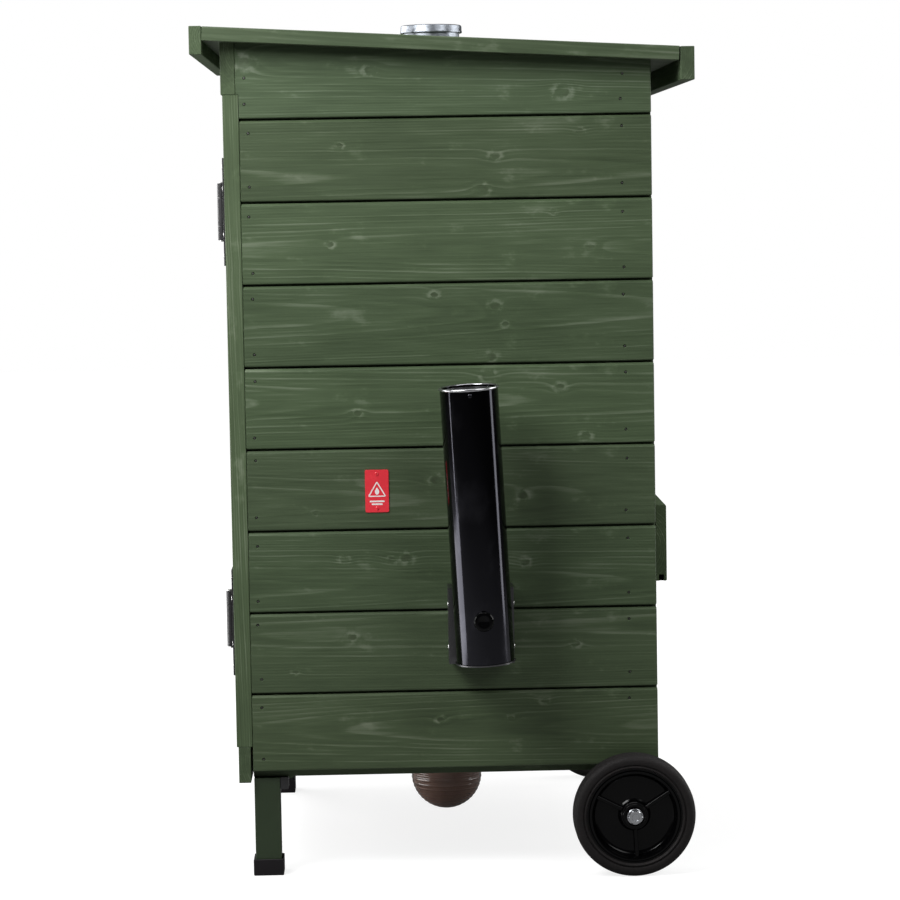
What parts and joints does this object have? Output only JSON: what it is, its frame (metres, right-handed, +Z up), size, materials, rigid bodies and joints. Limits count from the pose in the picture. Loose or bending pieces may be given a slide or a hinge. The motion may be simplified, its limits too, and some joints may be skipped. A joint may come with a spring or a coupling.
{
  "type": "electric cabinet smoker",
  "caption": "Timber-clad insulated electric smoking cabinet with a hinged front door, side smoke generator, flue damper, racks, drip bowl, front legs and rear wheels.",
  "frame": {"origin": "centre of the whole object's footprint box, at the ground under the feet and wheels", "axes": "+Z up, the door faces -Y, the smoke generator is on the +X side"},
  "size_m": [0.8138, 0.6488, 1.129],
  "materials": {
    "stained_timber": "satin",
    "bare_timber": "matt",
    "mineral_wool": "matt",
    "chamber_steel": "brushed",
    "wire_chrome": "polished",
    "element_steel": "satin",
    "polished_tube": "polished",
    "generator_steel": "satin",
    "galvanised_steel": "satin",
    "black_steel": "satin",
    "zinc_plate": "satin",
    "nail_steel": "matt",
    "green_steel": "satin",
    "black_plastic": "satin",
    "box_plastic": "matt",
    "wheel_plastic": "gloss",
    "tyre_rubber": "matt",
    "brown_enamel": "gloss",
    "sign_red": "satin",
    "switch_red": "gloss",
    "gasket_rubber": "matt",
    "igniter_ceramic": "matt",
    "motor_enamel": "satin"
  },
  "bodies": {
    "cabinet": {"right_siding": "stained_timber", "left_siding": "stained_timber", "rear_siding": "stained_timber", "carcass_frame": "bare_timber", "front_header": "stained_timber", "front_stiles": "stained_timber", "bottom_rail": "stained_timber", "floor_board": "stained_timber", "roof_boards": "stained_timber", "roof_fascias": "stained_timber", "cabinet_insulation": "mineral_wool", "liner_walls": "chamber_steel", "liner_floor": "chamber_steel", "liner_ceiling": "chamber_steel", "rack_guides": "chamber_steel", "heater_element": "element_steel", "temperature_probe": "chamber_steel", "flue_collar": "galvanised_steel", "drain_pipe": "chamber_steel", "bowl_rails": "chamber_steel", "front_legs": "green_steel", "foot_caps": "black_plastic", "chassis_brackets": "black_steel", "axle": "zinc_plate", "hinge_plates": "black_steel", "hinge_pins": "zinc_plate", "latch_keeper": "black_steel", "generator_housing": "generator_steel", "hopper_tube": "polished_tube", "bearing_cap": "black_plastic", "smoke_pipe": "chamber_steel", "feed_motor": "motor_enamel", "igniter": "igniter_ceramic", "warning_plate": "sign_red", "fixing_screws": "zinc_plate", "siding_nails": "nail_steel", "rear_board": "stained_timber", "power_inlet": "black_plastic", "control_box": "box_plastic"},
    "door": {"door_boards": "stained_timber", "door_frame": "bare_timber", "door_insulation": "mineral_wool", "door_inner_panel": "chamber_steel", "door_gasket": "gasket_rubber", "hinge_straps": "black_steel", "latch_base": "black_steel"},
    "latch": {"latch_lever": "black_steel"},
    "right_wheel": {"right_wheel_rim": "wheel_plastic", "right_wheel_tyre": "tyre_rubber"},
    "left_wheel": {"left_wheel_rim": "wheel_plastic", "left_wheel_tyre": "tyre_rubber"},
    "damper": {"damper_cap": "galvanised_steel"},
    "auger": {"feed_auger": "generator_steel"},
    "ash_cup": {"ash_cup": "generator_steel"},
    "drip_bowl": {"drip_bowl": "brown_enamel"},
    "rack_lower": {"rack_lower": "wire_chrome"},
    "rack_upper": {"rack_upper": "wire_chrome"},
    "hanging_frame": {"hanging_frame": "wire_chrome"},
    "knob": {"control_knob": "black_plastic"},
    "switch": {"power_switch": "switch_red"}
  },
  "joints": [
    {"name": "door_swing", "type": "hinge", "parent": "cabinet", "child": "door", "pos_m": [0.23151, -0.2911, 0.6], "axis": [0, 0, 1], "range_deg": [0, 110]},
    {"name": "latch_turn", "type": "hinge", "parent": "door", "child": "latch", "pos_m": [-0.26049, -0.2924, 0.6], "axis": [0, -1, 0], "range_deg": [0, 90]},
    {"name": "right_wheel_spin", "type": "hinge", "parent": "cabinet", "child": "right_wheel", "pos_m": [0.31211, 0.235, 0.08], "axis": [1, 0, 0], "continuous": true},
    {"name": "left_wheel_spin", "type": "hinge", "parent": "cabinet", "child": "left_wheel", "pos_m": [-0.36909, 0.235, 0.08], "axis": [1, 0, 0], "continuous": true},
    {"name": "damper_turn", "type": "hinge", "parent": "cabinet", "child": "damper", "pos_m": [-0.02849, -0.0074, 1.122], "axis": [0, 0, 1], "range_deg": [0, 45]},
    {"name": "auger_spin", "type": "hinge", "parent": "cabinet", "child": "auger", "pos_m": [0.35551, 0.03926, 0.35], "axis": [1, 0, 0], "continuous": true},
    {"name": "ash_cup_pull", "type": "slide", "parent": "cabinet", "child": "ash_cup", "axis": [-0.0349, 0.0471, -0.9983], "range_m": [0, 0.03]},
    {"name": "drip_bowl_slide", "type": "slide", "parent": "cabinet", "child": "drip_bowl", "axis": [0, -1, 0], "range_m": [0, 0.2]},
    {"name": "rack_lower_slide", "type": "slide", "parent": "cabinet", "child": "rack_lower", "axis": [0, -1, 0], "range_m": [0, 0.07]},
    {"name": "rack_upper_slide", "type": "slide", "parent": "cabinet", "child": "rack_upper", "axis": [0, -1, 0], "range_m": [0, 0.07]},
    {"name": "hanging_frame_slide", "type": "slide", "parent": "cabinet", "child": "hanging_frame", "axis": [0, -1, 0], "range_m": [0, 0.07]},
    {"name": "knob_turn", "type": "hinge", "parent": "cabinet", "child": "knob", "pos_m": [-0.39949, 0.0026, 0.83], "axis": [-1, 0, 0], "range_deg": [0, 270]},
    {"name": "switch_rock", "type": "hinge", "parent": "cabinet", "child": "switch", "pos_m": [-0.39149, -0.0974, 0.83], "axis": [0, -1, 0], "range_deg": [0, 16]}
  ]
}
